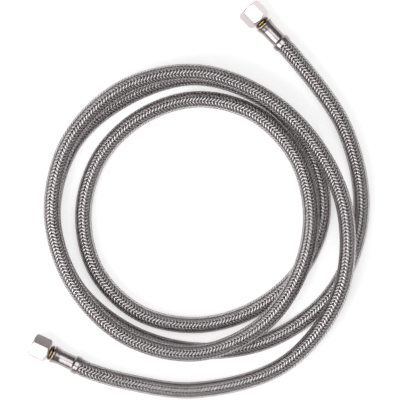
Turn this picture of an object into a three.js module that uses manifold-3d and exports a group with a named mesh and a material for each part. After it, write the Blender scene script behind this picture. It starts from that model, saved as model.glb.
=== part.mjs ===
// Braided icemaker supply hose, lying in a loose coil of three and a half turns.
// Millimetres, +Z up. The origin is at the middle of the floor area that the coil covers.
// A soft liner runs inside a woven steel sleeve. At each end both are squeezed by a crimped
// ferrule onto the barbed tail of a brass stem. The stem carries a swivel nut, trapped
// between its flange and its collar, and a rubber cone washer on its nose.

import * as THREE from 'three';
import { mergeVertices } from 'three/addons/utils/BufferGeometryUtils.js';
import Module from 'manifold-3d';

const wasm = await Module();
wasm.setup();

// Hose
const HOSE_OD = 10.0;
const SLEEVE_WALL = 0.75;
const LINER_WALL = 1.35;
const LAYER_GAP = 0.25;
const SLEEVE_SIDES = 12;
const LINER_SIDES = 8;
const SWEEP_STEPS = 80;
const NECK_OVERLAP = 0.5;

// Swivel nut: half-inch hexagon for a 7/16-24 compression thread
const NUT_FLATS = 12.7;
const NUT_LENGTH = 11.2;
const THREAD_BORE = 10.5;
const COUNTERSINK = 11.0;
const NUT_WALL = 1.8;
const MOUTH_CHAMFER = 1.1;
const REAR_CHAMFER = 1.6;
const SWIVEL_GAP = 0.3;

// Stem: nose, flange, neck, collar, lip groove and barbed tail
const WATERWAY = 2.4;
const NOSE_OD = 3.8;
const NOSE_LENGTH = 3.8;
const NOSE_TAPER = 0.3;
const FLANGE_OD = 9.0;
const FLANGE_LENGTH = 1.9;
const NECK_OD = 7.0;
const COLLAR_OD = 9.1;
const COLLAR_LENGTH = 1.7;
const GROOVE_OD = 5.6;
const GROOVE_LENGTH = 1.2;
const BARB_OD = 4.6;
const BARB_ROOT = 3.9;
const BARB_PITCH = 2.4;
const BARB_COUNT = 5;

// Cone washer
const WASHER_OD = 8.8;
const WASHER_TIP = 5.8;
const WASHER_LENGTH = 3.0;
const WASHER_RIM = 1.0;
const WASHER_GAP = 0.25;

// Crimped ferrule
const FERRULE_WALL = 0.4;
const RIM_OD = 10.4;
const WAIST_OD = 8.8;
const WAIST_AT = 5.0;
const SHOULDER_RISE = 0.25;
const SHOULDER_LENGTH = 2.0;
const CRIMP_LENGTH = 14.1;
const BELL_LENGTH = 2.8;
const BELL_RISE = 0.4;
const BELL_STEP = 0.8;
const CRIMP_GAP = 0.2;

// How finely round things are cut
const ROUND = 24;
const NECK_ROUND = 16;
const ROUTE_SAMPLES = 40;

// How far a cutting body runs past the piece it cuts
const PAST = 1.0;

// The lie of the coil. Each point is [distance from the coil's middle, lift in hose
// diameters above the floor], one every TURN_STEP degrees, counter-clockwise from above.
const COIL_CENTRE = [-0.93, -7.84];
const TURN_STEP = 30;
const FIRST_ANGLE = -90;
const LIE = [
  [103.5, 0.01], [102.0, 0.2], [95.5, 1.0],
  [86.5, 1.04], [79.5, 1.02], [78.5, 1.04], [82.0, 1.03], [84.5, 0.96], [85.5, 1.03],
  [84.5, 1.04], [83.0, 1.04], [83.0, 1.03], [81.5, 1.04], [75.5, 1.0], [69.0, 1.06],
  [66.5, 0.9], [66.5, 0.78], [67.0, 0.44], [66.5, 0.07], [65.0, 0.02], [65.5, 0.01],
  [66.5, 0.0], [68.0, 0.0], [67.5, 0.0], [65.5, 0.0], [65.5, 0.0], [69.0, 0.0],
  [73.5, 0.0], [75.0, 0.0], [77.0, 0.0], [79.5, 0.0], [79.0, 0.0], [83.0, 0.0],
  [84.5, 0.0], [83.0, 0.0], [80.0, 0.0], [80.5, 0.0], [85.5, 0.0], [92.0, 0.0],
  [96.0, 0.01], [99.5, 0.04],
];

// The two ends: where the hose leaves the ferrule, measured from the coil's middle, the way
// the nut points, in degrees from +X, and how far the nut is rolled from flat side down.
const ENDS = [
  { name: 'inlet', exit: [-69.0, -89.5], heading: 154.5, roll: -16 },
  { name: 'outlet', exit: [50.5, 98.2], heading: 134, roll: 0 },
];
// One more point of the lie, between the inlet and the coil: [x, y, lift]
const INLET_SAG = [-41.0, -98.6, 0.06];

// Places along a fitting, measured back from the nut's mouth towards the hose
const nutRear = NUT_LENGTH;
const seatAt = nutRear - NUT_WALL;
const flangeRear = seatAt - SWIVEL_GAP;
const flangeFront = flangeRear - FLANGE_LENGTH;
const noseTip = flangeFront - NOSE_LENGTH;
const collarFront = nutRear + SWIVEL_GAP;
const collarRear = collarFront + COLLAR_LENGTH;
const grooveRear = collarRear + GROOVE_LENGTH;
const tailEnd = grooveRear + BARB_COUNT * BARB_PITCH;
const ferruleFront = collarRear + SWIVEL_GAP;
const crimpRear = ferruleFront + CRIMP_LENGTH;
const bellMouth = crimpRear + BELL_LENGTH;
const hoseEnd = grooveRear + SWIVEL_GAP;

// The bell at the ferrule's rear stands a little proud of the hose that it lets out
const bellOuter = HOSE_OD + 2 * BELL_RISE;

const liftedHeight = (lift) => HOSE_OD / 2 + lift * HOSE_OD;

const sheen = {
  braid: { color: 0xa39d9c, roughness: 0.38, metalness: 0.95 },
  liner: { color: 0x3a3b3d, roughness: 0.7, metalness: 0.0 },
  nickel: { color: 0xe3dcdb, roughness: 0.2, metalness: 1.0 },
  brass: { color: 0xb58a3c, roughness: 0.3, metalness: 1.0 },
  rubber: { color: 0x1b1b1c, roughness: 0.85, metalness: 0.0 },
  steel: { color: 0xb3abaa, roughness: 0.3, metalness: 1.0 },
};

function named(name, geometry, finish) {
  const mesh = new THREE.Mesh(geometry, new THREE.MeshStandardMaterial(sheen[finish]));
  mesh.name = name;
  return mesh;
}

function toSolid(geometry) {
  const bare = geometry.clone();
  bare.deleteAttribute('normal');
  bare.deleteAttribute('uv');
  const merged = mergeVertices(bare, 1e-4);
  return new wasm.Manifold(new wasm.Mesh({
    numProp: 3,
    vertProperties: new Float32Array(merged.attributes.position.array),
    triVerts: new Uint32Array(merged.index.array),
  }));
}

function toGeometry(solid) {
  const mesh = solid.getMesh();
  const geometry = new THREE.BufferGeometry();
  geometry.setAttribute('position', new THREE.BufferAttribute(mesh.vertProperties, 3));
  geometry.setIndex(new THREE.BufferAttribute(mesh.triVerts, 1));
  geometry.computeVertexNormals();
  return geometry;
}

// A turned piece. The outline holds [diameter, place behind the mouth] points, in order
// round the section, and local +Y points out of the nut's mouth.
function turned(outline, segments = ROUND) {
  const points = [...outline, outline[0]].map(([d, t]) => new THREE.Vector2(d / 2, -t));
  return new THREE.LatheGeometry(points.reverse(), segments);
}

// A hexagonal prism along local Y, with a flat side facing local -Z
function hexBar(flats, length) {
  const corner = flats / 2 / Math.cos(Math.PI / 6);
  const bar = new THREE.CylinderGeometry(corner, corner, length, 6);
  bar.translate(0, -length / 2, 0);
  bar.rotateY(Math.PI / 6);
  return bar;
}

function nutGeometry() {
  const corner = NUT_FLATS / Math.cos(Math.PI / 6);
  const mouthRing = corner - 2 * MOUTH_CHAMFER;
  const rearRing = corner - 2 * REAR_CHAMFER;
  const hole = NECK_OD + 2 * SWIVEL_GAP;
  const rounded = toSolid(turned([
    [0, 0], [mouthRing, 0], [corner + 2 * PAST, MOUTH_CHAMFER + PAST],
    [corner + 2 * PAST, nutRear - REAR_CHAMFER - PAST], [rearRing, nutRear], [0, nutRear],
  ]));
  const cavity = toSolid(turned([
    [0, -PAST], [COUNTERSINK, -PAST], [COUNTERSINK, 0],
    [THREAD_BORE, (COUNTERSINK - THREAD_BORE) / 2], [THREAD_BORE, seatAt], [hole, seatAt],
    [hole, nutRear + PAST], [0, nutRear + PAST],
  ]));
  return toGeometry(toSolid(hexBar(NUT_FLATS, NUT_LENGTH)).intersect(rounded).subtract(cavity));
}

function stemGeometry() {
  const barbs = [];
  for (let i = 0; i < BARB_COUNT; i += 1) {
    const front = grooveRear + i * BARB_PITCH;
    barbs.push([BARB_OD, front], [BARB_ROOT, front + BARB_PITCH]);
  }
  return turned([
    [WATERWAY, noseTip], [NOSE_OD - 2 * NOSE_TAPER, noseTip], [NOSE_OD, noseTip + NOSE_TAPER],
    [NOSE_OD, flangeFront], [FLANGE_OD, flangeFront], [FLANGE_OD, flangeRear],
    [NECK_OD, flangeRear], [NECK_OD, collarFront], [COLLAR_OD, collarFront],
    [COLLAR_OD, collarRear], [GROOVE_OD, collarRear], [GROOVE_OD, grooveRear],
    ...barbs, [WATERWAY, tailEnd],
  ]);
}

function washerGeometry() {
  const bore = NOSE_OD + 2 * WASHER_GAP;
  const back = flangeFront - WASHER_GAP;
  const front = back - WASHER_LENGTH;
  return turned([
    [bore, front], [WASHER_TIP, front], [WASHER_OD, back - WASHER_RIM],
    [WASHER_OD, back], [bore, back],
  ]);
}

function ferruleGeometry() {
  const lipHole = GROOVE_OD + 2 * SWIVEL_GAP;
  const lipRear = ferruleFront + FERRULE_WALL;
  const waistAt = ferruleFront + WAIST_AT;
  const shoulderAt = waistAt - SHOULDER_LENGTH;
  const shoulder = WAIST_OD + 2 * SHOULDER_RISE;
  const inside = (diameter) => diameter - 2 * FERRULE_WALL;
  return turned([
    [lipHole, ferruleFront], [RIM_OD - 2 * FERRULE_WALL, ferruleFront],
    [RIM_OD, lipRear], [RIM_OD, lipRear + FERRULE_WALL], [shoulder, shoulderAt],
    [WAIST_OD, waistAt], [WAIST_OD, crimpRear - BELL_STEP], [bellOuter, crimpRear],
    [bellOuter, bellMouth], [inside(bellOuter), bellMouth],
    [inside(bellOuter), crimpRear + FERRULE_WALL / 2],
    [inside(WAIST_OD), crimpRear - BELL_STEP + FERRULE_WALL / 2], [inside(WAIST_OD), waistAt],
    [inside(shoulder), shoulderAt], [inside(RIM_OD), lipRear], [lipHole, lipRear],
  ]);
}

// The squeezed end of one hose layer, inside the ferrule
function neckGeometry(freeOuter, freeInner, outer, inner) {
  const stepFront = crimpRear - BELL_STEP + CRIMP_GAP;
  const stepRear = crimpRear + CRIMP_GAP;
  const root = bellMouth + 2 * NECK_OVERLAP;
  return turned([
    [inner, hoseEnd], [outer, hoseEnd], [outer, stepFront], [freeOuter, stepRear],
    [freeOuter, root], [freeInner, root], [freeInner, stepRear], [inner, stepFront],
  ], NECK_ROUND);
}

const headingOf = (end) => {
  const angle = THREE.MathUtils.degToRad(end.heading);
  return new THREE.Vector3(Math.cos(angle), Math.sin(angle), 0);
};

// The axis of an end fitting lies level. Its height is that of the nut resting on the floor.
function axisHeight(end) {
  const corner = NUT_FLATS / 2 / Math.cos(Math.PI / 6);
  const fromCorner = THREE.MathUtils.degToRad(30 - Math.abs(end.roll));
  return corner * Math.cos(fromCorner);
}

// A point on a fitting's axis, a given way behind the nut's mouth
function onAxis(end, behindMouth) {
  const [x, y] = end.exit;
  const exit = new THREE.Vector3(COIL_CENTRE[0] + x, COIL_CENTRE[1] + y, axisHeight(end));
  return exit.addScaledVector(headingOf(end), bellMouth - behindMouth);
}

function hoseRoute() {
  const [inlet, outlet] = ENDS;
  const start = bellMouth + NECK_OVERLAP;
  const lead = start + HOSE_OD / 2;
  const [sagX, sagY, sagLift] = INLET_SAG;
  const points = [
    onAxis(inlet, start), onAxis(inlet, lead),
    new THREE.Vector3(COIL_CENTRE[0] + sagX, COIL_CENTRE[1] + sagY, liftedHeight(sagLift)),
  ];
  LIE.forEach(([reach, lift], i) => {
    const angle = THREE.MathUtils.degToRad(FIRST_ANGLE + i * TURN_STEP);
    points.push(new THREE.Vector3(
      COIL_CENTRE[0] + reach * Math.cos(angle),
      COIL_CENTRE[1] + reach * Math.sin(angle),
      liftedHeight(lift),
    ));
  });
  points.push(onAxis(outlet, lead), onAxis(outlet, start));
  const route = new THREE.CatmullRomCurve3(points);
  route.arcLengthDivisions = ROUTE_SAMPLES * points.length;
  return route;
}

function ringOutline(diameter, sides, kind) {
  const points = [];
  for (let i = 0; i < sides; i += 1) {
    const angle = (2 * Math.PI * i) / sides;
    points.push(new THREE.Vector2(Math.cos(angle), Math.sin(angle)).multiplyScalar(diameter / 2));
  }
  return new kind(points);
}

// One layer of the hose: a ring section swept along the route
function layerSweep(route, outer, inner, sides) {
  const section = ringOutline(outer, sides, THREE.Shape);
  section.holes.push(ringOutline(inner, sides, THREE.Path));
  return new THREE.ExtrudeGeometry(section, {
    steps: SWEEP_STEPS, bevelEnabled: false, extrudePath: route,
  });
}

// Turns a fitting made along local Y into its place at an end of the hose
function placeAtEnd(object, end) {
  const out = headingOf(end);
  const up = new THREE.Vector3(0, 0, 1);
  const across = new THREE.Vector3().crossVectors(out, up);
  object.quaternion.setFromRotationMatrix(new THREE.Matrix4().makeBasis(across, out, up));
  object.position.copy(onAxis(end, 0));
  return object;
}

function placedSolid(geometry, end) {
  const holder = placeAtEnd(new THREE.Object3D(), end);
  holder.updateMatrix();
  return toSolid(geometry.clone().applyMatrix4(holder.matrix));
}

function hoseLayer(route, outer, inner, sides, neckOuter, neckInner) {
  const inset = outer * (1 - Math.cos(Math.PI / sides)) + CRIMP_GAP;
  const neck = neckGeometry(outer - inset, inner + CRIMP_GAP, neckOuter, neckInner);
  let layer = toSolid(layerSweep(route, outer, inner, sides));
  for (const end of ENDS) layer = layer.add(placedSolid(neck, end));
  return toGeometry(layer);
}

const sleeveBore = HOSE_OD - 2 * SLEEVE_WALL;
const linerOuter = sleeveBore - 2 * LAYER_GAP;
const linerBore = linerOuter - 2 * LINER_WALL;
const crimpBore = WAIST_OD - 2 * FERRULE_WALL;
const sleeveNeck = crimpBore - 2 * CRIMP_GAP;
const linerNeckBore = BARB_OD + 2 * CRIMP_GAP;
const linerNeck = (sleeveNeck + linerNeckBore) / 2 - CRIMP_GAP;
const sleeveNeckBore = linerNeck + 2 * CRIMP_GAP;

const hose = new THREE.Group();
const route = hoseRoute();
hose.add(named(
  'braid_sleeve',
  hoseLayer(route, HOSE_OD, sleeveBore, SLEEVE_SIDES, sleeveNeck, sleeveNeckBore),
  'braid',
));
hose.add(named(
  'inner_tube',
  hoseLayer(route, linerOuter, linerBore, LINER_SIDES, linerNeck, linerNeckBore),
  'liner',
));

for (const end of ENDS) {
  const fitting = placeAtEnd(new THREE.Group(), end);
  const nut = named(`${end.name}_nut`, nutGeometry(), 'nickel');
  nut.rotation.y = THREE.MathUtils.degToRad(end.roll);
  fitting.add(nut);
  fitting.add(named(`${end.name}_stem`, stemGeometry(), 'brass'));
  fitting.add(named(`${end.name}_cone_washer`, washerGeometry(), 'rubber'));
  fitting.add(named(`${end.name}_ferrule`, ferruleGeometry(), 'steel'));
  hose.add(fitting);
}

export default hose;
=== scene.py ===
"""Dresses the packed icemaker supply hose: woven steel sleeve, liner, end fittings and stage.

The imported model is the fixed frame. Everything is in metres, in that frame, with +Z up.
"""

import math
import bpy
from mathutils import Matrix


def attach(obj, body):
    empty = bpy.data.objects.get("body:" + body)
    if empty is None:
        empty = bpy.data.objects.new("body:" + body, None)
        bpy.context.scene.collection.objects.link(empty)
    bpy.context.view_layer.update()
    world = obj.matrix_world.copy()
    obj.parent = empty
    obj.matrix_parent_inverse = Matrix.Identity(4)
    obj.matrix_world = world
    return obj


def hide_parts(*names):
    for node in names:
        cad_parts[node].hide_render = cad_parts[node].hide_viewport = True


bl_info = {
    "name": "Icemaker Supply Hose",
    "version": (1, 0, 0),
    "blender": (4, 5, 0),
    "location": "View3D > Sidebar > Supply Hose",
    "description": "Builds a braided supply hose with its swivel fittings, and a plain stage",
    "category": "Object",
}

import bmesh
import bpy
import numpy as np
from bpy.props import FloatProperty, FloatVectorProperty, IntProperty, PointerProperty
from mathutils import Matrix, Vector

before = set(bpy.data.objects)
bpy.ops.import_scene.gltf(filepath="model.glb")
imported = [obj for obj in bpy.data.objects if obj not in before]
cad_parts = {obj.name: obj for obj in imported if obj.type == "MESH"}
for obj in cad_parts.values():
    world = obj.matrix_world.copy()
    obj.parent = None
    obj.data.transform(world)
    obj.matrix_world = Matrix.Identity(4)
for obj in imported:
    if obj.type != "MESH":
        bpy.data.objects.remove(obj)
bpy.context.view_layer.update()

MM = 0.001
UP = Vector((0.0, 0.0, 1.0))

# The lie of the coil, in millimetres and degrees, as the solid hose has it. Each point is
# [distance from the coil's middle, lift in hose diameters], one every TURN_STEP degrees.
HOSE_OD = 10.0
COIL_CENTRE = (-0.93, -7.84)
TURN_STEP = 30
FIRST_ANGLE = -90
LIE = [
    [103.5, 0.01], [102.0, 0.2], [95.5, 1.0],
    [86.5, 1.04], [79.5, 1.02], [78.5, 1.04], [82.0, 1.03], [84.5, 0.96], [85.5, 1.03],
    [84.5, 1.04], [83.0, 1.04], [83.0, 1.03], [81.5, 1.04], [75.5, 1.0], [69.0, 1.06],
    [66.5, 0.9], [66.5, 0.78], [67.0, 0.44], [66.5, 0.07], [65.0, 0.02], [65.5, 0.01],
    [66.5, 0.0], [68.0, 0.0], [67.5, 0.0], [65.5, 0.0], [65.5, 0.0], [69.0, 0.0],
    [73.5, 0.0], [75.0, 0.0], [77.0, 0.0], [79.5, 0.0], [79.0, 0.0], [83.0, 0.0],
    [84.5, 0.0], [83.0, 0.0], [80.0, 0.0], [80.5, 0.0], [85.5, 0.0], [92.0, 0.0],
    [96.0, 0.01], [99.5, 0.04],
]
# One more point of the lie, between the inlet and the coil: (x, y, lift)
INLET_SAG = (-41.0, -98.6, 0.06)
SPAN_SAMPLES = 40

# The two ends: the bell's mouth from the coil's middle, the way the nut points, in degrees
# from +X, and how far the nut is rolled from flat side down
ENDS = {
    "inlet": {"exit": (-69.0, -89.5), "heading": 154.5, "roll": -16.0},
    "outlet": {"exit": (50.5, 98.2), "heading": 134.0, "roll": 0.0},
}

# Swivel nut, in millimetres
NUT_FLATS = 12.7
NUT_LENGTH = 11.2
NUT_WALL = 1.8
MOUTH_CHAMFER = 1.1
REAR_CHAMFER = 1.6
EDGE_ROUNDING = 0.16
SWIVEL_GAP = 0.3
LEAD_IN = 0.6
LEAD_IN_RISE = 0.2
THREAD_START = 0.7
THREAD_RUN_IN = 0.8
THREAD_STOP = 0.5
THREAD_RUN_OUT = 0.6
TOOTH_STEEPNESS = 1.3
ROOT_FLAT = 0.1
TOUCH = 0.02

# Stem: nose, flange, neck, collar, lip groove and barbed tail
WATERWAY = 2.4
NOSE_OD = 3.8
NOSE_LENGTH = 3.8
NOSE_TAPER = 0.3
FLANGE_OD = 9.0
FLANGE_LENGTH = 1.9
NECK_OD = 7.0
COLLAR_OD = 9.1
COLLAR_FACE = 8.2
COLLAR_LENGTH = 1.7
COLLAR_CHAMFER = 0.5
GROOVE_OD = 5.6
GROOVE_LENGTH = 1.2
BARB_OD = 4.6
BARB_ROOT = 3.9
BARB_PITCH = 2.4
BARB_FACE = 0.1
BARB_COUNT = 5

# Cone washer
WASHER_OD = 8.8
WASHER_TIP = 5.8
WASHER_LENGTH = 3.0
WASHER_RIM = 1.0
WASHER_GAP = 0.25

# Crimped ferrule. The lip's points are [change of diameter from the rim, place behind the
# ferrule's front], the flare's [share of the rise from waist to bell, place behind the
# crimp's rear], and the roundings' [change of diameter, length].
FERRULE_WALL = 0.4
RIM_OD = 10.4
LIP_CURVE = [[-0.9, 0.0], [-0.2, 0.12], [0.0, 0.45], [-0.1, 0.9], [-0.65, 1.7]]
LIP_INSIDE = [-1.2, 0.9]
SHOULDER_OD = 9.3
SHOULDER_LENGTH = 2.0
WAIST_OD = 8.8
WAIST_BEHIND = 5.0
WAIST_ROUNDING = [0.15, 0.9]
CRIMP_LENGTH = 14.1
CRIMP_FLATS = 8
CRIMP_RUN_IN = 1.6
CRIMP_RUN_OUT = 0.9
CRIMP_OVERRUN = 0.2
FLARE_CURVE = [[0.0, -1.1], [0.25, -0.65], [0.8, -0.35], [1.0, 0.1]]
FLARE_INSIDE = [[1.0, 0.3], [0.45, -0.3], [0.0, -0.8]]
BELL_STEP = 0.8
BELL_RISE = 0.4
BELL_LENGTH = 2.8
BELL_ROUNDING = [0.2, 0.25]
BELL_OD = HOSE_OD + 2 * BELL_RISE
NECK_OVERLAP = 0.5

# Places along a fitting, behind the nut's mouth
NUT_SEAT = NUT_LENGTH - NUT_WALL
FLANGE_REAR = NUT_SEAT - SWIVEL_GAP
FLANGE_FRONT = FLANGE_REAR - FLANGE_LENGTH
NOSE_TIP = FLANGE_FRONT - NOSE_LENGTH
COLLAR_FRONT = NUT_LENGTH + SWIVEL_GAP
COLLAR_REAR = COLLAR_FRONT + COLLAR_LENGTH
GROOVE_REAR = COLLAR_REAR + GROOVE_LENGTH
TAIL_END = GROOVE_REAR + BARB_COUNT * BARB_PITCH
FERRULE_FRONT = COLLAR_REAR + SWIVEL_GAP
WAIST_AT = FERRULE_FRONT + WAIST_BEHIND
SHOULDER_AT = WAIST_AT - SHOULDER_LENGTH
CRIMP_REAR = FERRULE_FRONT + CRIMP_LENGTH
BELL_STEP_AT = CRIMP_REAR - BELL_STEP
BELL_MOUTH = CRIMP_REAR + BELL_LENGTH
ROUTE_START = BELL_MOUTH + NECK_OVERLAP
ROUTE_LEAD = ROUTE_START + HOSE_OD / 2

# The weave. Its plaits are split into halves, so that no piece has too many triangles. Before
# they are wound they lie side by side, BAR_PITCH apart.
HALVES = ("odd", "even")
BAR_PITCH = 10.0
# How sharply a plait changes from over to under
BAND_STEEPNESS = 1.7
# The slow waves in which plaits wander: [length over 2 pi, phase from plait to plait]
DRIFT_WAVES = [[31.0 * MM, 2.1], [12.7 * MM, 4.7]]
# Added to the number of a plait that winds right, so that no two plaits share their tones
RIGHT_LOTS = 20
LINER_SIDES = 20
# How many rows of a plait are as long as one row of the liner
LINER_ROW = 4

# How much painted shade darkens a plait's colour on its sides, where it dives under, and between
# two wires
SIDE_SHADE = 0.3
DIVE_SHADE = 0.94
GROOVE_SHADE = 0.38

# The stage, in metres, with the camera's sensor in millimetres
SENSOR = 36.0
PICTURE_MIDDLE = (0.00083, -0.00023)
CLIP_START = 0.05
CLIP_END = 60.0
FLOOR_REACH = 15.0
FLOOR_DROP = 0.1 * MM
LAMPS = {
    "key": {"size": 1.25, "place": (-0.95, -0.75, 1.25)},
    "top": {"size": 1.4, "place": (0.15, 0.3, 1.9)},
}


def heading_of(end):
    """The way an end's nut points, level with the floor."""
    angle = math.radians(end["heading"])
    return Vector((math.cos(angle), math.sin(angle), 0.0))


def axis_height(end):
    """How high a fitting's axis lies, in millimetres, with its nut resting on the floor."""
    corner = NUT_FLATS / 2 / math.cos(math.radians(30))
    return corner * math.cos(math.radians(30 - abs(end["roll"])))


def on_axis(end, behind_mouth):
    """A point on a fitting's axis, in millimetres."""
    x, y = end["exit"]
    start = Vector((COIL_CENTRE[0] + x, COIL_CENTRE[1] + y, axis_height(end)))
    return start + heading_of(end) * (BELL_MOUTH - behind_mouth)


def lie_points():
    """The points that the hose is laid through, from the inlet to the outlet."""
    centre = Vector((*COIL_CENTRE, 0.0))

    def lifted(x, y, lift):
        return centre + Vector((x, y, HOSE_OD / 2 + lift * HOSE_OD))

    inlet, outlet = ENDS["inlet"], ENDS["outlet"]
    points = [on_axis(inlet, ROUTE_START), on_axis(inlet, ROUTE_LEAD), lifted(*INLET_SAG)]
    for i, (reach, lift) in enumerate(LIE):
        angle = math.radians(FIRST_ANGLE + i * TURN_STEP)
        points.append(lifted(reach * math.cos(angle), reach * math.sin(angle), lift))
    points += [on_axis(outlet, ROUTE_LEAD), on_axis(outlet, ROUTE_START)]
    return np.array(points)


def laid_curve(points, samples):
    """A centripetal Catmull-Rom curve through the points."""
    ends = [2 * points[0] - points[1], *points, 2 * points[-1] - points[-2]]
    line = []
    for p0, p1, p2, p3 in zip(ends, ends[1:], ends[2:], ends[3:]):
        d0, d1, d2 = (math.sqrt(np.linalg.norm(b - a)) for a, b in ((p0, p1), (p1, p2), (p2, p3)))
        leave = ((p1 - p0) / d0 - (p2 - p0) / (d0 + d1) + (p2 - p1) / d1) * d1
        reach = ((p2 - p1) / d1 - (p3 - p1) / (d1 + d2) + (p3 - p2) / d2) * d1
        for t in np.arange(samples) / samples:
            square = (3 * (p2 - p1) - 2 * leave - reach) * t**2
            cube = (2 * (p1 - p2) + leave + reach) * t**3
            line.append(p1 + leave * t + square + cube)
    line.append(points[-1])
    return np.array(line)


class Route:
    """The hose's middle line, measured along its length, with a level frame at each point."""

    def __init__(self, into_bell):
        inlet = np.array(on_axis(ENDS["inlet"], ROUTE_START - into_bell))
        outlet = np.array(on_axis(ENDS["outlet"], ROUTE_START - into_bell))
        line = np.vstack([inlet, laid_curve(lie_points(), SPAN_SAMPLES), outlet]) * MM
        steps = np.linalg.norm(np.diff(line, axis=0), axis=1)
        self.at = np.concatenate([[0.0], np.cumsum(steps)])
        self.line = line
        self.length = self.at[-1]
        along = np.gradient(line, self.at, axis=0)
        self.along = along / np.linalg.norm(along, axis=1)[:, None]
        rise = self.along[:, 2:3]
        over = np.array([[0.0, 0.0, 1.0]]) - rise * self.along
        self.over = over / np.linalg.norm(over, axis=1)[:, None]
        self.beside = np.cross(self.over, self.along)

    def take(self, table, s):
        """The rows of a table of the route, at distances s along it."""
        return np.stack([np.interp(s, self.at, table[:, k]) for k in range(3)], axis=1)

    def bend(self, co):
        """Lays straight points on the route: x runs along the hose, y beside it and z up."""
        return (
            self.take(self.line, co[:, 0])
            + self.take(self.beside, co[:, 0]) * co[:, 1:2]
            + self.take(self.over, co[:, 0]) * co[:, 2:3]
        )


# Shader maths


class Wire:
    """A shader socket that reads as a number in an expression."""

    def __init__(self, shader, socket):
        self.shader = shader
        self.socket = socket

    def math(self, operation, *others):
        """A Math node on this number and the others."""
        values = [self, *others]
        return self.shader.add("ShaderNodeMath", {"operation": operation}, dict(enumerate(values)))

    def __add__(self, other):
        return self.math("ADD", other)

    __radd__ = __add__

    def __sub__(self, other):
        return self.math("SUBTRACT", other)

    def __rsub__(self, other):
        return self.shader.add(
            "ShaderNodeMath", {"operation": "SUBTRACT"}, {0: other, 1: self}
        )

    def __mul__(self, other):
        return self.math("MULTIPLY", other)

    __rmul__ = __mul__

    def __abs__(self):
        return self.math("ABSOLUTE")

    def sine(self):
        return self.math("SINE")

    def limited(self):
        """The number kept between 0 and 1."""
        return self.shader.add(
            "ShaderNodeMath", {"operation": "ADD", "use_clamp": True}, {0: self, 1: 0.0}
        )

    def ramp(self, low, high):
        """0 where the number is at low or less, 1 where it is at high or more."""
        return self.shader.add(
            "ShaderNodeMapRange",
            {"interpolation_type": "SMOOTHSTEP"},
            {"Value": self, "From Min": low, "From Max": high},
        )


class Shader:
    """A material with one Principled shader, built by expressions."""

    def __init__(self, name):
        self.material = bpy.data.materials.new(name)
        self.material.use_nodes = True
        self.tree = self.material.node_tree
        self.tree.nodes.clear()
        self.surface = self.tree.nodes.new("ShaderNodeBsdfPrincipled")
        output = self.tree.nodes.new("ShaderNodeOutputMaterial")
        self.tree.links.new(self.surface.outputs[0], output.inputs["Surface"])

    def add(self, kind, settings=None, values=None, output=0):
        """A node of that kind: its settings first, then its sockets' values or links."""
        node = self.tree.nodes.new(kind)
        for key, value in (settings or {}).items():
            setattr(node, key, value)
        for key, value in (values or {}).items():
            self.put(node.inputs[key], value)
        return Wire(self, node.outputs[output])

    def put(self, socket, value):
        """Links a wire to a socket, or sets the socket's own value."""
        if isinstance(value, Wire):
            self.tree.links.new(value.socket, socket)
        else:
            socket.default_value = value

    def set(self, **sockets):
        """Sets the Principled shader's sockets, named with underscores for spaces."""
        for key, value in sockets.items():
            self.put(self.surface.inputs[key.replace("_", " ")], value)

    def attribute(self, name):
        """A vector that the mesh carries at each point."""
        return self.add("ShaderNodeAttribute", {"attribute_name": name}, output="Vector")

    def parts(self, vector):
        """The three numbers of a vector."""
        split = self.add("ShaderNodeSeparateXYZ", None, {0: vector})
        return [Wire(self, output) for output in split.socket.node.outputs]

    def vector(self, x, y, z):
        """A vector made of three numbers."""
        return self.add("ShaderNodeCombineXYZ", None, {0: x, 1: y, 2: z})

    def stretched(self, vector, by):
        """A vector with each of its numbers multiplied."""
        return self.add("ShaderNodeVectorMath", {"operation": "MULTIPLY"}, {0: vector, 1: by})

    def noise(self, vector, scale=1.0, detail=2.0, roughness=0.5):
        """Soft random patches from 0 to 1, scale of them in each unit of the vector."""
        return self.add(
            "ShaderNodeTexNoise",
            {"noise_dimensions": "3D"},
            {"Vector": vector, "Scale": scale, "Detail": detail, "Roughness": roughness},
            output="Fac",
        )

    def blend(self, factor, first, second):
        """The first colour where factor is 0, the second where it is 1.
        A Mix node's colours are its sockets 6 and 7, and its output 2."""
        return self.add(
            "ShaderNodeMix",
            {"data_type": "RGBA"},
            {0: factor, 6: first, 7: second},
            output=2,
        )

    def shades(self, factor, colour, dark=1.0, light=1.0):
        """A colour from its dark shade, where factor is 0, to its light one, where it is 1."""
        return self.blend(factor, opaque(colour, dark), opaque(colour, light))

    def bump(self, height, distance, strength=1.0):
        """A normal tilted by a height from 0 to 1 that stands for a distance in metres."""
        values = {"Height": height, "Distance": distance, "Strength": strength}
        return self.add("ShaderNodeBump", None, values)


def opaque(colour, shade=1.0):
    """A colour of three parts made darker or lighter, with full cover."""
    return (*(min(1.0, c * shade) for c in colour), 1.0)


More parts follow.
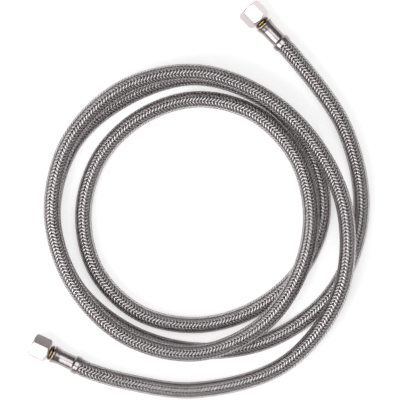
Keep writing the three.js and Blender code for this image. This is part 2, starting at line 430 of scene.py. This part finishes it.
def braid_material(colours, sizes):
    """Bright stainless wire laid side by side in flat plaits, with painted shade where a plait
    dives under, on its sides and between two wires.
    Each plait reads its own part of the noise: long patches, and short streaks along wires."""
    shader = Shader("braid_stainless_wire")
    across, along, lot = shader.parts(shader.attribute("plait"))
    level = shader.parts(shader.attribute("plait_level"))[0]
    wires = (across * (math.pi * sizes.wires_per_plait / 2)).sine()
    crest = 1 - wires * wires
    patches = shader.stretched(shader.vector(lot, along, lot), (7.3, 0.09, 1.7))
    streaks = shader.stretched(shader.vector(across, along, lot), (3.0, 0.35, 11.0))
    tone = shader.noise(patches, detail=3.0)
    streak = shader.noise(streaks)
    worn = (tone.ramp(0.3, 0.7) * 0.55 + streak.ramp(0.35, 0.65) * 0.45).limited()
    # Painted shade: the wire's colour is darkened towards the braid's shade colour on a plait's
    # sides, where it dives under, and between two wires
    side = abs(across).ramp(0.78, 1.0)
    dive_shade_mask = 1 - level.ramp(-0.3, 0.8)
    groove = 1 - crest.ramp(0.0, 0.3)
    unshaded = (1 - side * SIDE_SHADE) * (1 - dive_shade_mask * DIVE_SHADE) * (1 - groove * GROOVE_SHADE)
    metal = shader.shades(worn, colours.braid, dark=0.85, light=1.15)
    shader.set(
        Base_Color=shader.blend(unshaded, opaque(colours.braid_painted_shade), metal),
        Metallic=1.0,
        Roughness=0.38 - unshaded * 0.12 + streak * 0.06,
        Normal=shader.bump(crest, distance=sizes.wire / 2, strength=0.2),
    )
    return shader.material


def liner_material(colours):
    """Dark smooth plastic tube with a faint haze."""
    shader = Shader("liner_dark_plastic")
    here = shader.add("ShaderNodeTexCoord", output="Object")
    haze = shader.noise(here, scale=180.0, detail=3.0)
    shader.set(
        Base_Color=shader.shades(haze, colours.liner, dark=0.7, light=1.3),
        Roughness=0.45 + haze * 0.3,
        Normal=shader.bump(haze, distance=0.05 * MM),
    )
    return shader.material


def nickel_material(colours):
    """Bright nickel plate over milled brass, with faint cutter marks and fine pits."""
    shader = Shader("nut_nickel_plate")
    stock = shader.attribute("stock")
    cloud = shader.noise(stock, scale=160.0, detail=3.0)
    marks = shader.noise(shader.stretched(stock, (900.0, 9000.0, 900.0)))
    pits = shader.noise(stock, scale=2600.0)
    shader.set(
        Base_Color=shader.shades(cloud.ramp(0.3, 0.7), colours.nickel, dark=0.95, light=1.03),
        Metallic=1.0,
        Roughness=0.34 + cloud * 0.06,
        Normal=shader.bump(marks * 0.7 + pits * 0.3, distance=0.002 * MM, strength=0.2),
    )
    return shader.material


def steel_material(colours):
    """Satin stainless, drawn and then squeezed: fine rings round it, and marks along it."""
    shader = Shader("ferrule_satin_steel")
    stock = shader.attribute("stock")
    rings = shader.noise(
        shader.stretched(stock, (60.0, 7000.0, 60.0)), detail=3.0, roughness=0.6
    )
    cloud = shader.noise(stock, scale=320.0, detail=3.0)
    draw = shader.noise(shader.stretched(stock, (2200.0, 90.0, 2200.0)))
    patches = (rings * 0.5 + cloud * 0.5).ramp(0.3, 0.7)
    shader.set(
        Base_Color=shader.shades(patches, colours.ferrule, dark=0.84, light=1.1),
        Metallic=1.0,
        Roughness=0.2 + cloud * 0.08 + rings * 0.06,
        Normal=shader.bump(rings * 0.6 + draw * 0.4, distance=0.02 * MM, strength=0.5),
    )
    return shader.material


def brass_material(colours):
    """Turned brass with tool rings, and tarnish in patches."""
    shader = Shader("stem_turned_brass")
    stock = shader.attribute("stock")
    rings = shader.noise(shader.stretched(stock, (40.0, 5200.0, 40.0)))
    stain = shader.noise(stock, scale=420.0, detail=4.0, roughness=0.6)
    shader.set(
        Base_Color=shader.blend(
            stain.ramp(0.34, 0.66), opaque(colours.brass), opaque(colours.brass_tarnish)
        ),
        Metallic=1.0,
        Roughness=0.2 + stain * 0.2,
        Normal=shader.bump(rings, distance=0.02 * MM, strength=0.6),
    )
    return shader.material


def rubber_material(colours):
    """Moulded black rubber with a dusty bloom."""
    shader = Shader("washer_black_rubber")
    stock = shader.attribute("stock")
    grain = shader.noise(stock, scale=3400.0, detail=3.0)
    bloom = shader.noise(stock, scale=500.0, detail=3.0)
    shader.set(
        Base_Color=shader.shades(bloom.ramp(0.4, 0.8), colours.rubber, light=2.2),
        Roughness=0.6 + bloom * 0.25,
        Normal=shader.bump(grain, distance=0.03 * MM, strength=0.6),
    )
    return shader.material


# Making meshes


def finished(name, bm, material, smooth_angle=None):
    """Makes the object for a finished bmesh, with its place in its mesh."""
    mesh = bpy.data.meshes.new(name)
    bm.to_mesh(mesh)
    bm.free()
    mesh.materials.append(material)
    mesh.shade_smooth()
    if smooth_angle is not None:
        mesh.set_sharp_from_angle(angle=math.radians(smooth_angle))
    piece = bpy.data.objects.new(name, mesh)
    bpy.context.scene.collection.objects.link(piece)
    return piece


def points_of(mesh):
    """A mesh's points, one in each row."""
    co = np.empty(len(mesh.vertices) * 3, np.float32)
    mesh.vertices.foreach_get("co", co)
    return co.reshape(-1, 3).astype(float)


def move_points(mesh, co):
    """Puts a mesh's points where the rows say."""
    mesh.vertices.foreach_set("co", np.asarray(co, np.float32).ravel())
    mesh.update()


def carry(mesh, name, values):
    """Stores a vector at each point of a mesh, for its material to read."""
    layer = mesh.attributes.new(name, "FLOAT_VECTOR", "POINT")
    layer.data.foreach_set("vector", np.asarray(values, np.float32).ravel())


def straight_bars(sides, reaches, length, rows, capped):
    """Straight bars or tubes along x, one inside another, cut into rows."""
    bm = bmesh.new()
    for reach in reaches:
        bmesh.ops.create_cone(
            bm, cap_ends=capped, cap_tris=False, segments=sides,
            radius1=reach, radius2=reach, depth=length,
        )
    runs = [e for e in bm.edges if abs(e.verts[0].co.z - e.verts[1].co.z) > length / 2]
    bmesh.ops.subdivide_edges(bm, edges=runs, cuts=rows - 1)
    bmesh.ops.rotate(bm, verts=bm.verts, matrix=Matrix.Rotation(math.pi / 2, 3, "Y"))
    bmesh.ops.translate(bm, verts=bm.verts, vec=(length / 2, 0.0, 0.0))
    return bm


def rising(x, start, run):
    """0 up to start and 1 from start + run on. With a run below 0 it falls instead."""
    return np.clip((x - start) / run, 0.0, 1.0)


def smooth(share):
    """A share from 0 to 1 that starts and stops gently."""
    return share * share * (3 - 2 * share)


def half_layer(name, route, sizes, hand, first, material):
    """Every other plait that winds one way, woven under and over and laid on the route.
    Each starts as a square rod on edge: two of its four corners are its sides."""
    bm = straight_bars(4, [1.0], route.length, round(route.length / sizes.row), True)
    bar = list(bm.verts) + list(bm.edges) + list(bm.faces)
    for step in range(1, sizes.plaits_each_way // len(HALVES)):
        made = bmesh.ops.duplicate(bm, geom=bar)
        copied = [g for g in made["geom"] if isinstance(g, bmesh.types.BMVert)]
        bmesh.ops.translate(bm, verts=copied, vec=(0.0, step * BAR_PITCH, 0.0))
    piece = finished(name, bm, material)
    weave(piece.data, route, sizes, hand, first)
    return piece


def weave(mesh, route, sizes, hand, first):
    """Winds a layer's plaits round the hose, over and under those that wind the other way.
    A point's y counts the plaits and runs across each, and its z runs through its thickness.
    The hand is 1 for plaits that wind right and -1 for those that wind left."""
    co = points_of(mesh)
    s = co[:, 0]
    step = np.round(co[:, 1] / BAR_PITCH)
    across = co[:, 1] - step * BAR_PITCH
    lot = len(HALVES) * step + first
    turn = math.tau / sizes.plaits_each_way
    slope = math.atan(math.tau * sizes.weave_radius / sizes.lay)
    half = sizes.plait_width / 2 / math.cos(slope) / sizes.weave_radius
    around = hand * (math.tau * s / sizes.lay + lot * turn + across * half)
    bands = np.cos(around * sizes.plaits_each_way / 2 + sizes.band_turn)
    level = hand * np.clip(bands * BAND_STEEPNESS, -1.0, 1.0)
    at_side = np.abs(across) > 0.5
    rise = np.where(at_side, -sizes.plait_crown, co[:, 2] * sizes.wire / 2)
    radius = sizes.weave_radius + level * sizes.weave_lift + rise
    drift = sum(np.sin(s / wave + lot * phase) for wave, phase in DRIFT_WAVES)
    around = around + drift * sizes.plait_drift / sizes.weave_radius
    from_end = np.minimum(s, route.length - s)
    squeeze = rising(from_end, sizes.squeeze_length, -sizes.squeeze_length)
    radius = radius - sizes.squeeze * smooth(squeeze)
    straight = np.stack([s, radius * np.cos(around), radius * np.sin(around)], axis=1)
    tone_lot = lot + RIGHT_LOTS * (hand > 0)
    carry(mesh, "plait", np.stack([across, s / MM, tone_lot], axis=1))
    carry(mesh, "plait_level", np.stack([level, level, level], axis=1))
    move_points(mesh, route.bend(straight))
    if hand > 0:
        mesh.flip_normals()


def liner_tube(route, sizes, material):
    """The smooth liner that shows dark between the plaits: two tubes joined at their rims.
    The inner one faces inwards first, so that the joined rims aren't twisted."""
    rows = round(route.length / (LINER_ROW * sizes.row))
    outer = sizes.liner_od / 2
    reaches = [outer, outer - sizes.liner_wall]
    bm = straight_bars(LINER_SIDES, reaches, route.length, rows, False)
    middle = outer - sizes.liner_wall / 2
    inside = [f for f in bm.faces if math.hypot(f.verts[0].co.y, f.verts[0].co.z) < middle]
    bmesh.ops.reverse_faces(bm, faces=inside)
    for end in (0.0, route.length):
        rims = [e for e in bm.edges if e.is_boundary and abs(e.verts[0].co.x - end) < MM / 10]
        bmesh.ops.bridge_loops(bm, edges=rims)
    bmesh.ops.recalc_face_normals(bm, faces=bm.faces)
    piece = finished("inner_tube_smooth", bm, material, smooth_angle=40)
    move_points(piece.data, route.bend(points_of(piece.data)))
    return piece


def eased(outline, ease):
    """The outline with each corner cut back to three points, so that its edges are soft.
    A cut takes the given ease, but no more than a share of a short side."""
    most = 0.4
    corners = [Vector((d / 2, t)) for d, t in outline]
    points = []
    for i, corner in enumerate(corners):
        before, after = corners[i - 1] - corner, corners[(i + 1) % len(corners)] - corner
        cut = min(ease, before.length * most, after.length * most)
        start, stop = corner + before.normalized() * cut, corner + after.normalized() * cut
        points += [start, (start + stop + corner * 2) / 4, stop]
    return points


def turned(outline, segments, ease=0.12, step=1.0):
    """A turned piece, in millimetres: [diameter, place behind the mouth] points make its section.
    Local +Y points out of the nut's mouth, and long runs are cut every step."""
    bm = bmesh.new()
    points = [bm.verts.new((p.x, -p.y, 0.0)) for p in eased(outline, ease)]
    runs = [bm.edges.new(pair) for pair in zip(points, points[1:] + points[:1])]
    for edge in runs:
        cuts = int(edge.calc_length() / step)
        if cuts:
            bmesh.ops.subdivide_edges(bm, edges=[edge], cuts=cuts)
    bmesh.ops.spin(
        bm,
        geom=list(bm.verts) + list(bm.edges),
        cent=(0.0, 0.0, 0.0),
        axis=(0.0, 1.0, 0.0),
        dvec=(0.0, 0.0, 0.0),
        angle=math.tau,
        steps=segments,
        use_merge=True,
        use_duplicate=False,
    )
    bmesh.ops.recalc_face_normals(bm, faces=bm.faces)
    return bm


def seated(name, bm, end, material, roll, smooth_angle=32):
    """Turns a fitting's piece from its own millimetres into its place at an end of the hose."""
    piece = finished(name, bm, material, smooth_angle)
    carry(piece.data, "stock", points_of(piece.data) * MM)
    out = heading_of(end)
    across = out.cross(UP)
    place = Matrix((across, out, UP)).transposed().to_4x4()
    place.translation = on_axis(end, 0.0) * MM
    piece.data.transform(place @ Matrix.Rotation(math.radians(roll), 4, "Y") @ Matrix.Scale(MM, 4))
    piece.data.update()
    return piece


def soft_least(a, b, blend):
    """The lesser of two sizes, with the corner where they meet rounded off."""
    mixed = np.clip(0.5 + 0.5 * (b - a) / blend, 0.0, 1.0)
    return b * (1 - mixed) + a * mixed - blend * mixed * (1 - mixed)


def reshape(bm, change):
    """Moves a turned piece's points by a rule on their radius, angle from +Z and depth.
    The depth is behind the nut's mouth."""
    co = np.array([v.co for v in bm.verts])
    radius = np.hypot(co[:, 0], co[:, 2])
    angle = np.arctan2(co[:, 0], co[:, 2])
    radius, depth = change(radius, angle, -co[:, 1])
    for vert, r, a, t in zip(bm.verts, radius, angle, depth):
        vert.co = (r * math.sin(a), -t, r * math.cos(a))
    bmesh.ops.recalc_face_normals(bm, faces=bm.faces)


def nut_body(sizes):
    """A swivel nut: a turned blank with six milled flats, a thread, and a rear wall that holds it
    on the stem."""
    flats = sizes.nut_flats / MM
    corner = flats / math.cos(math.radians(30))
    pitch = sizes.thread_pitch / MM
    crest = sizes.thread_crest / MM
    root = sizes.thread_root / MM
    hole = NECK_OD + 2 * SWIVEL_GAP
    outline = [
        [root + LEAD_IN_RISE, 0.0], [corner - 2 * MOUTH_CHAMFER, 0.0], [corner, MOUTH_CHAMFER],
        [corner, NUT_LENGTH - REAR_CHAMFER], [corner - 2 * REAR_CHAMFER, NUT_LENGTH],
        [hole, NUT_LENGTH], [hole, NUT_SEAT], [root, NUT_SEAT], [root, LEAD_IN],
    ]
    bm = turned(outline, sizes.nut_steps, ease=0.14, step=0.13)

    def cut(radius, angle, depth):
        """Mills the flats on the outside, and cuts the thread in the bore."""
        side = math.radians(60)
        face = np.mod(angle + side / 2, side) - side / 2
        milled = soft_least(radius, flats / 2 / np.cos(face), EDGE_ROUNDING)
        turns = depth / pitch + angle / math.tau
        ridge = 1 - np.abs(2 * np.mod(turns, 1.0) - 1)
        tooth = np.clip(ridge * TOOTH_STEEPNESS - ROOT_FLAT, 0.0, 1.0)
        run_in = rising(depth, THREAD_START, THREAD_RUN_IN)
        run_out = rising(depth, NUT_SEAT - THREAD_STOP, -THREAD_RUN_OUT)
        thread = radius - (root - crest) / 2 * tooth * run_in * run_out
        outside = radius > (root + LEAD_IN_RISE) / 2 + EDGE_ROUNDING
        on_bore = np.abs(radius - root / 2) < TOUCH
        return np.where(outside, milled, np.where(on_bore, thread, radius)), depth

    reshape(bm, cut)
    return bm


def stem_body(sizes):
    """A brass stem: nose, flange, neck, collar, lip groove and barbed tail, bored through."""
    outline = [
        [WATERWAY, NOSE_TIP], [NOSE_OD - 2 * NOSE_TAPER, NOSE_TIP],
        [NOSE_OD, NOSE_TIP + NOSE_TAPER], [NOSE_OD, FLANGE_FRONT], [FLANGE_OD, FLANGE_FRONT],
        [FLANGE_OD, FLANGE_REAR], [NECK_OD, FLANGE_REAR], [NECK_OD, COLLAR_FRONT],
        [COLLAR_FACE, COLLAR_FRONT], [COLLAR_OD, COLLAR_FRONT + COLLAR_CHAMFER],
        [COLLAR_OD, COLLAR_REAR - COLLAR_CHAMFER], [COLLAR_FACE, COLLAR_REAR],
        [GROOVE_OD, COLLAR_REAR], [GROOVE_OD, GROOVE_REAR],
    ]
    for barb in range(BARB_COUNT):
        front = GROOVE_REAR + barb * BARB_PITCH
        outline += [[BARB_OD, front], [BARB_ROOT, front + BARB_PITCH - BARB_FACE]]
    outline += [[WATERWAY, TAIL_END]]
    return turned(outline, sizes.turned_steps, step=0.8)


def washer_body(sizes):
    """A moulded rubber cone washer with a rounded rim."""
    bore = NOSE_OD + 2 * WASHER_GAP
    back = FLANGE_FRONT - WASHER_GAP
    front = back - WASHER_LENGTH
    outline = [
        [bore, front], [WASHER_TIP, front], [WASHER_OD, back - WASHER_RIM], [WASHER_OD, back],
        [bore, back],
    ]
    return turned(outline, sizes.turned_steps, ease=0.25, step=0.5)


def ferrule_body(sizes):
    """A thin steel ferrule: rolled lip, crimped waist with press flats, and a flared bell."""
    press = sizes.crimp_flat / MM
    lip_hole = GROOVE_OD + 2 * SWIVEL_GAP
    waist_bore = WAIST_OD - 2 * FERRULE_WALL
    bell_bore = BELL_OD - 2 * FERRULE_WALL
    flare = BELL_OD - WAIST_OD
    waist_out, waist_back = WAIST_ROUNDING
    bell_in, bell_back = BELL_ROUNDING
    lip_in, lip_behind = LIP_INSIDE
    outline = [
        [lip_hole, FERRULE_FRONT],
        *([RIM_OD + change, FERRULE_FRONT + behind] for change, behind in LIP_CURVE),
        [SHOULDER_OD, SHOULDER_AT], [WAIST_OD + waist_out, WAIST_AT - waist_back],
        [WAIST_OD, WAIST_AT],
        *([WAIST_OD + share * flare, CRIMP_REAR + behind] for share, behind in FLARE_CURVE),
        [BELL_OD, BELL_MOUTH - bell_back], [BELL_OD - bell_in, BELL_MOUTH],
        [bell_bore + bell_in, BELL_MOUTH],
        *([waist_bore + share * flare, CRIMP_REAR + behind] for share, behind in FLARE_INSIDE),
        [waist_bore, WAIST_AT], [SHOULDER_OD - 2 * FERRULE_WALL, SHOULDER_AT],
        [RIM_OD + lip_in, FERRULE_FRONT + lip_behind], [lip_hole, FERRULE_FRONT + FERRULE_WALL],
    ]
    bm = turned(outline, sizes.ferrule_steps, step=0.5)

    def squeeze(radius, angle, depth):
        """Presses shallow flats into the waist."""
        side = math.tau / CRIMP_FLATS
        face = np.mod(angle, side) - side / 2
        flat = (1 - np.cos(face) / math.cos(side / 2)) / (1 - 1 / math.cos(side / 2))
        run_in = smooth(rising(depth, SHOULDER_AT, CRIMP_RUN_IN))
        run_out = smooth(rising(depth, BELL_STEP_AT + CRIMP_OVERRUN, -CRIMP_RUN_OUT))
        return radius - press * flat * run_in * run_out, depth

    reshape(bm, squeeze)
    return bm


# Settings


class HoseSizes(bpy.types.PropertyGroup):
    """Sizes of the hose and its woven sleeve."""

    plaits_each_way: IntProperty(
        name="Plaits each way", description="Plaits that wind each way round the hose",
        default=12, min=4, max=24,
    )
    wires_per_plait: IntProperty(
        name="Wires per plait", description="Wires laid side by side in a plait",
        default=7, min=2, max=12,
    )
    lay: FloatProperty(
        name="Lay", description="Length of hose in which a plait goes once round",
        default=23.5 * MM, unit="LENGTH",
    )
    weave_radius: FloatProperty(
        name="Weave radius", description="Middle of the sleeve's wall, from the hose's axis",
        default=4.74 * MM, unit="LENGTH",
    )
    weave_lift: FloatProperty(
        name="Weave lift", description="How far a plait rises and dives from the wall's middle",
        default=0.13 * MM, unit="LENGTH",
    )
    plait_width: FloatProperty(
        name="Plait width", description="Width of one plait across its wires",
        default=1.46 * MM, unit="LENGTH",
    )
    plait_crown: FloatProperty(
        name="Plait crown", description="How far a plait's sides lie below its middle",
        default=0.08 * MM, unit="LENGTH",
    )
    plait_drift: FloatProperty(
        name="Plait drift", description="How far a plait wanders sideways from its even place",
        default=0.035 * MM, unit="LENGTH",
    )
    wire: FloatProperty(
        name="Wire", description="Diameter of one wire",
        default=0.22 * MM, unit="LENGTH",
    )
    row: FloatProperty(
        name="Row", description="Length of hose between two rows of points along a plait",
        default=0.5 * MM, unit="LENGTH",
    )
    band_turn: FloatProperty(
        name="Band turn", description="Where the herringbone's bands lie round the hose",
        default=0.0, subtype="ANGLE",
    )
    squeeze: FloatProperty(
        name="Squeeze", description="How much the sleeve's radius shrinks inside a bell",
        default=0.22 * MM, unit="LENGTH",
    )
    squeeze_length: FloatProperty(
        name="Squeeze length", description="Length over which the sleeve shrinks at each end",
        default=4.5 * MM, unit="LENGTH",
    )
    into_bell: FloatProperty(
        name="Into bell", description="How far the sleeve is drawn on into each bell",
        default=2.6 * MM, unit="LENGTH",
    )
    liner_od: FloatProperty(
        name="Liner diameter", description="Outside diameter of the liner",
        default=8.3 * MM, unit="LENGTH",
    )
    liner_wall: FloatProperty(
        name="Liner wall", description="Thickness of the liner",
        default=1.35 * MM, unit="LENGTH",
    )
    hose_length: FloatProperty(
        name="Hose length", description="Free length of the hose between its two fittings",
        default=1.78, unit="LENGTH",
    )


class FittingSizes(bpy.types.PropertyGroup):
    """Sizes of the end fittings."""

    nut_flats: FloatProperty(
        name="Nut flats", description="Width of the nut across its flats",
        default=NUT_FLATS * MM, unit="LENGTH",
    )
    thread_pitch: FloatProperty(
        name="Thread pitch", description="Distance between two threads in the nut",
        default=1.058 * MM, unit="LENGTH",
    )
    thread_crest: FloatProperty(
        name="Thread crest", description="Diameter inside the nut's thread",
        default=10.2 * MM, unit="LENGTH",
    )
    thread_root: FloatProperty(
        name="Thread root", description="Diameter at the bottom of the nut's thread",
        default=11.0 * MM, unit="LENGTH",
    )
    crimp_flat: FloatProperty(
        name="Crimp flat", description="Depth of the press marks in the ferrule's waist",
        default=0.09 * MM, unit="LENGTH",
    )
    nut_steps: IntProperty(
        name="Nut steps", description="Steps round a nut", default=144, min=24, max=288,
    )
    turned_steps: IntProperty(
        name="Turned steps", description="Steps round a turned piece", default=64, min=12, max=128,
    )
    ferrule_steps: IntProperty(
        name="Ferrule steps", description="Steps round a ferrule", default=96, min=16, max=192,
    )


def colour_property(name, description, default):
    """A colour that a user may change."""
    return FloatVectorProperty(
        name=name, description=description, subtype="COLOR", size=3, min=0.0, max=1.0,
        default=default,
    )


class HoseColours(bpy.types.PropertyGroup):
    """Colours of the hose's materials."""

    braid: colour_property("Braid", "Stainless wire of the sleeve", (0.93, 0.847, 0.855))
    # Painted shade: the dark colour the braid's wire is mixed towards where a plait dives under,
    # on its sides and between wires
    braid_painted_shade: colour_property("Braid shade", "Wire where it dives under", (0.045, 0.04, 0.04))
    liner: colour_property("Liner", "Plastic tube under the sleeve", (0.012, 0.012, 0.013))
    nickel: colour_property("Nickel", "Plating of the nuts", (0.76, 0.705, 0.7))
    ferrule: colour_property("Ferrule", "Crimped steel ferrules", (0.4, 0.362, 0.36))
    brass: colour_property("Brass", "Turned stems", (0.42, 0.275, 0.105))
    brass_tarnish: colour_property("Tarnish", "Stain on the brass", (0.12, 0.06, 0.025))
    rubber: colour_property("Rubber", "Cone washers", (0.012, 0.012, 0.012))


class StageSettings(bpy.types.PropertyGroup):
    """The plain stage that the hose lies on."""

    frame_width: FloatProperty(
        name="Frame width", description="Width of the floor that the camera sees",
        default=0.234, unit="LENGTH",
    )
    camera_height: FloatProperty(
        name="Camera height", description="Height of the camera above the hose",
        default=2.4, unit="LENGTH",
    )
    floor: colour_property("Floor", "Plain pale floor", (0.8, 0.8, 0.8))
    floor_glow: FloatProperty(
        name="Floor glow", description="White that the floor adds where a camera or metal sees it",
        default=0.5, min=0.0, max=1.0,
    )
    key_power: FloatProperty(
        name="Key power", description="Power of the large soft lamp at the lower left",
        default=17.0, unit="POWER",
    )
    top_power: FloatProperty(
        name="Top power", description="Power of the large soft lamp overhead",
        default=15.0, unit="POWER",
    )
    world_level: FloatProperty(
        name="Surroundings", description="Brightness of the room round the stage",
        default=0.16, min=0.0, max=1.0,
    )


# Operators


class HOSE_OT_stage(bpy.types.Operator):
    """Sets the camera, the floor, the surroundings and the lamps"""

    bl_idname = "hose.stage"
    bl_label = "Set Stage"

    def execute(self, context):
        settings = context.scene.hose_stage
        self.camera(context, settings)
        self.floor(context, settings)
        self.surroundings(context, settings)
        for name, lamp in LAMPS.items():
            power = getattr(settings, f"{name}_power")
            self.lamp(context, f"{name}_lamp", power, lamp["size"], lamp["place"])
        context.scene.view_settings.view_transform = "Standard"
        return {"FINISHED"}

    def camera(self, context, settings):
        lens = bpy.data.cameras.new("camera")
        lens.sensor_width = SENSOR
        lens.lens = SENSOR * settings.camera_height / settings.frame_width
        lens.clip_start = CLIP_START
        lens.clip_end = CLIP_END
        camera = bpy.data.objects.new("camera", lens)
        camera.location = (*PICTURE_MIDDLE, settings.camera_height + HOSE_OD / 2 * MM)
        context.scene.collection.objects.link(camera)
        context.scene.camera = camera

    def floor(self, context, settings):
        bm = bmesh.new()
        bmesh.ops.create_grid(bm, x_segments=1, y_segments=1, size=FLOOR_REACH)
        mesh = bpy.data.meshes.new("floor")
        bm.to_mesh(mesh)
        bm.free()
        shader = Shader("floor_pale")
        path = shader.add("ShaderNodeLightPath", output="Is Camera Ray")
        glossy = Wire(shader, path.socket.node.outputs["Is Glossy Ray"])
        clear = Wire(shader, path.socket.node.outputs["Is Transmission Ray"])
        seen = (path + glossy + clear).limited()
        shader.set(
            Base_Color=opaque(settings.floor),
            Roughness=1.0,
            Emission_Color=(1.0, 1.0, 1.0, 1.0),
            Emission_Strength=seen * settings.floor_glow,
        )
        shader.surface.inputs["Specular IOR Level"].default_value = 0.0
        mesh.materials.append(shader.material)
        floor = bpy.data.objects.new("floor", mesh)
        floor.location = (0.0, 0.0, -FLOOR_DROP)
        context.scene.collection.objects.link(floor)

    def surroundings(self, context, settings):
        world = bpy.data.worlds.new("studio")
        world.use_nodes = True
        context.scene.world = world
        nodes, links = world.node_tree.nodes, world.node_tree.links
        back = nodes["Background"]
        ray = nodes.new("ShaderNodeLightPath")
        level = nodes.new("ShaderNodeMapRange")
        links.new(ray.outputs["Is Camera Ray"], level.inputs["Value"])
        level.inputs["To Min"].default_value = settings.world_level
        level.inputs["To Max"].default_value = 1.0
        links.new(level.outputs[0], back.inputs["Strength"])
        back.inputs["Color"].default_value = (1.0, 1.0, 1.0, 1.0)

    def lamp(self, context, name, power, size, place):
        light = bpy.data.lights.new(name, "AREA")
        light.shape = "SQUARE"
        light.size = size
        light.energy = power
        lamp = bpy.data.objects.new(name, light)
        lamp.location = place
        lamp.rotation_euler = (-Vector(place)).to_track_quat("-Z", "Y").to_euler()
        lamp.visible_camera = False
        context.scene.collection.objects.link(lamp)


class HOSE_OT_liner(bpy.types.Operator):
    """Lays the smooth liner inside the sleeve"""

    bl_idname = "hose.liner"
    bl_label = "Add Liner"

    def execute(self, context):
        sizes = context.scene.hose_sizes
        route = Route(sizes.into_bell / MM)
        piece = liner_tube(route, sizes, liner_material(context.scene.hose_colours))
        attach(piece, "hose")
        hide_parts("inner_tube")
        return {"FINISHED"}


class HOSE_OT_sleeve(bpy.types.Operator):
    bl_idname = "hose.sleeve"
    bl_label = "Weave Sleeve"

    def execute(self, context):
        sizes = context.scene.hose_sizes
        route = Route(sizes.into_bell / MM)
        material = braid_material(context.scene.hose_colours, sizes)
        for way, hand in (("right", 1), ("left", -1)):
            for first, half in enumerate(HALVES):
                piece = half_layer(f"braid_{way}_{half}", route, sizes, hand, first, material)
                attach(piece, "hose")
                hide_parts("braid_sleeve")
        start = on_axis(ENDS["inlet"], BELL_MOUTH) * MM
        return {"FINISHED"}


class HOSE_OT_fittings(bpy.types.Operator):
    """Makes the nut, stem, washer and ferrule of each end"""

    bl_idname = "hose.fittings"
    bl_label = "Add End Fittings"

    def execute(self, context):
        sizes = context.scene.hose_fittings
        colours = context.scene.hose_colours
        nickel, brass = nickel_material(colours), brass_material(colours)
        rubber, steel = rubber_material(colours), steel_material(colours)
        for name, end in ENDS.items():
            rows = (
                ("nut", "milled", nut_body, nickel, "nickel", end["roll"]),
                ("stem", "turned", stem_body, brass, "brass", 0.0),
                ("cone_washer", "moulded", washer_body, rubber, "rubber", 0.0),
                ("ferrule", "crimped", ferrule_body, steel, "steel", 0.0),
            )
            for kind, how, make, material, slot, roll in rows:
                piece = seated(f"{name}_{kind}_{how}", make(sizes), end, material, roll)
                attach(piece, f"{name}_swivel" if kind == "nut" else "hose")
                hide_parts(f"{name}_{kind}")
        return {"FINISHED"}


class HOSE_PT_panel(bpy.types.Panel):
    """Lists the steps that build the hose"""

    bl_label = "Supply Hose"
    bl_idname = "HOSE_PT_panel"
    bl_space_type = "VIEW_3D"
    bl_region_type = "UI"
    bl_category = "Supply Hose"

    def draw(self, context):
        layout = self.layout
        for step in STEPS:
            layout.operator(step.bl_idname)
        for group in SETTINGS:
            settings = getattr(context.scene, group)
            for key in settings.__annotations__:
                layout.prop(settings, key)


STEPS = (HOSE_OT_stage, HOSE_OT_liner, HOSE_OT_fittings, HOSE_OT_sleeve)
SETTINGS = {
    "hose_sizes": HoseSizes,
    "hose_fittings": FittingSizes,
    "hose_colours": HoseColours,
    "hose_stage": StageSettings,
}


def register():
    for group in (*SETTINGS.values(), *STEPS, HOSE_PT_panel):
        bpy.utils.register_class(group)
    for name, group in SETTINGS.items():
        setattr(bpy.types.Scene, name, PointerProperty(type=group))


def unregister():
    for name in SETTINGS:
        delattr(bpy.types.Scene, name)
    for group in (HOSE_PT_panel, *STEPS, *SETTINGS.values()):
        bpy.utils.unregister_class(group)


def main():
    register()
    bpy.ops.hose.stage()
    bpy.ops.hose.liner()
    bpy.ops.hose.fittings()
    bpy.ops.hose.sleeve()


if __name__ == "__main__":
    main()
